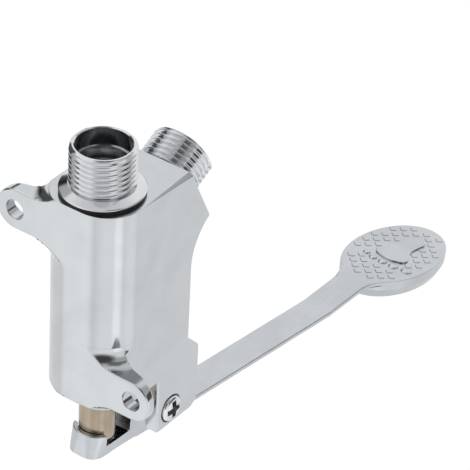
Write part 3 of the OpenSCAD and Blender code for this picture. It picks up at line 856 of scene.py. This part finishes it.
def join(name, pieces, degrees):
    """Joins pieces into one, smooths its edges below an angle and puts it in the lever's place."""
    bpy.ops.object.select_all(action="DESELECT")
    for piece in pieces:
        piece.select_set(True)
    bpy.context.view_layer.objects.active = pieces[0]
    bpy.ops.object.join()
    pieces[0].name = name
    return put(smooth(pieces[0], degrees), LEVER)


print("pad top at", PAD_TOP, "mm in the lever's frame")

# %% [markdown]
# ## Line of the footprint
# The footprint is a plain sign drawn for this model: a sole and five toes. A curve object could draw it,
# but a smooth line through a few chosen corners also tells which studs have to make room for it.

# %% Footprint's line
SOLE = (
    (148.9, -1.3), (149.7, -4.3), (150.6, -6.3), (152.9, -6.9), (155.5, -5.7), (157.8, -4.5), (160.5, -4.2),
    (163.5, -4.4), (166.3, -4.8), (168.4, -4.2), (169.4, -2.2), (169.0, 0.4), (167.2, 2.1), (164.2, 3.0),
    (160.8, 3.3), (157.6, 3.8), (154.8, 5.2), (152.4, 5.9), (150.7, 5.0), (149.5, 2.2),
)
# Each toe: its place on the pad and its size
TOES = ((146.9, -10.2, 2.2), (146.3, -5.1, 1.95), (146.4, -0.5, 1.75), (146.6, 3.6, 1.6), (148.0, 7.2, 1.45))
STEPS_PER_CORNER = 4


def smooth_loop(corners):
    """A closed smooth line through these corners."""
    ring = [Vector(corner) for corner in corners]
    points = []
    for at in range(len(ring)):
        a, b, c, d = (ring[(at + k - 1) % len(ring)] for k in range(4))
        for step in range(STEPS_PER_CORNER):
            t = step / STEPS_PER_CORNER
            bend, twist = 2 * a - 5 * b + 4 * c - d, 3 * b - a - 3 * c + d
            points.append(0.5 * (2 * b + (c - a) * t + bend * t**2 + twist * t**3))
    return points


def inside(point, loop, margin):
    """Whether a point lies in a closed line, or nearer to it than the margin."""
    crossings = 0
    for a, b in zip(loop, loop[1:] + loop[:1]):
        if (a.y > point.y) != (b.y > point.y):
            crossings += a.x + (point.y - a.y) / (b.y - a.y) * (b.x - a.x) > point.x
    return crossings % 2 == 1 or min((point - corner).length for corner in loop) < margin


sole_line = smooth_loop(SOLE)
print("sole's line has", len(sole_line), "points")

# %% [markdown]
# ## Laying the tread
# Rows of studs run across the oval pad, every second row shifted by half a step. An Array modifier could
# lay them, but it can't leave out those that meet the footprint or the rim. So each copy gets its place in
# a loop.

# %% Tread
STEP_X, STEP_Y = 5.4, 2.68
STUD_HALF, STUD_RISE = 1.7, 0.2
RIM, TOE_GAP, SOLE_GAP = 2.0, 1.4, 1.6
FIRST_STUD = Vector((153.0, -0.7))

first = stud("tread", *FIRST_STUD, STUD_HALF, STUD_RISE)
spots = []
for row in range(-6, 7):
    for column in range(-5, 6):
        spot = FIRST_STUD + Vector(((column + 0.5 * (row % 2)) * STEP_X, row * STEP_Y))
        off = Vector(((spot.x - PAD_X) / (PAD_LENGTH / 2 - RIM), spot.y / (PAD_WIDTH / 2 - RIM)))
        clear_of_toes = all((spot - Vector(toe[:2])).length > toe[2] + TOE_GAP for toe in TOES)
        if off.length < 1 and clear_of_toes and not inside(spot, sole_line, SOLE_GAP):
            spots.append(spot)
copies = [copy_of(first, (*(spot - FIRST_STUD), 0)) for spot in spots]
bpy.data.objects.remove(first)
tread = join("tread", copies, 15)
hand_in(tread, "foot_lever", "satin_chrome")
print("tread of", len(spots), "studs")

# %% [markdown]
# ## Raised footprint
# The sole is its line filled, extruded and inset, with the middle lifted a little, so that it catches the
# light at its edge. The toes are low domes. Both sink a little into the pad, so no gap shows below them.

# %% Footprint
SOLE_RISE, SOLE_EDGE, SOLE_CROWN, TOE_RISE = 0.6, 0.3, 0.12, 0.62

sole = outline("sole", [(point.x, point.y, PAD_TOP - SINK) for point in sole_line])
in_edit_mode(
    sole,
    (bpy.ops.mesh.edge_face_add, {}),
    (bpy.ops.mesh.extrude_region_move, {"TRANSFORM_OT_translate": {"value": (0, 0, SOLE_RISE * MM)}}),
    (bpy.ops.mesh.inset, {"thickness": SOLE_EDGE * MM}),
    (bpy.ops.transform.translate, {"value": (0, 0, SOLE_CROWN * MM)}),
    SELECT_ALL,
    FACE_OUTWARDS,
)
toes = [dome("toe", x, y, size, size * 0.9, TOE_RISE) for x, y, size in TOES]
footprint = join("footprint", [sole, *toes], 40)
hand_in(footprint, "foot_lever", "satin_chrome")
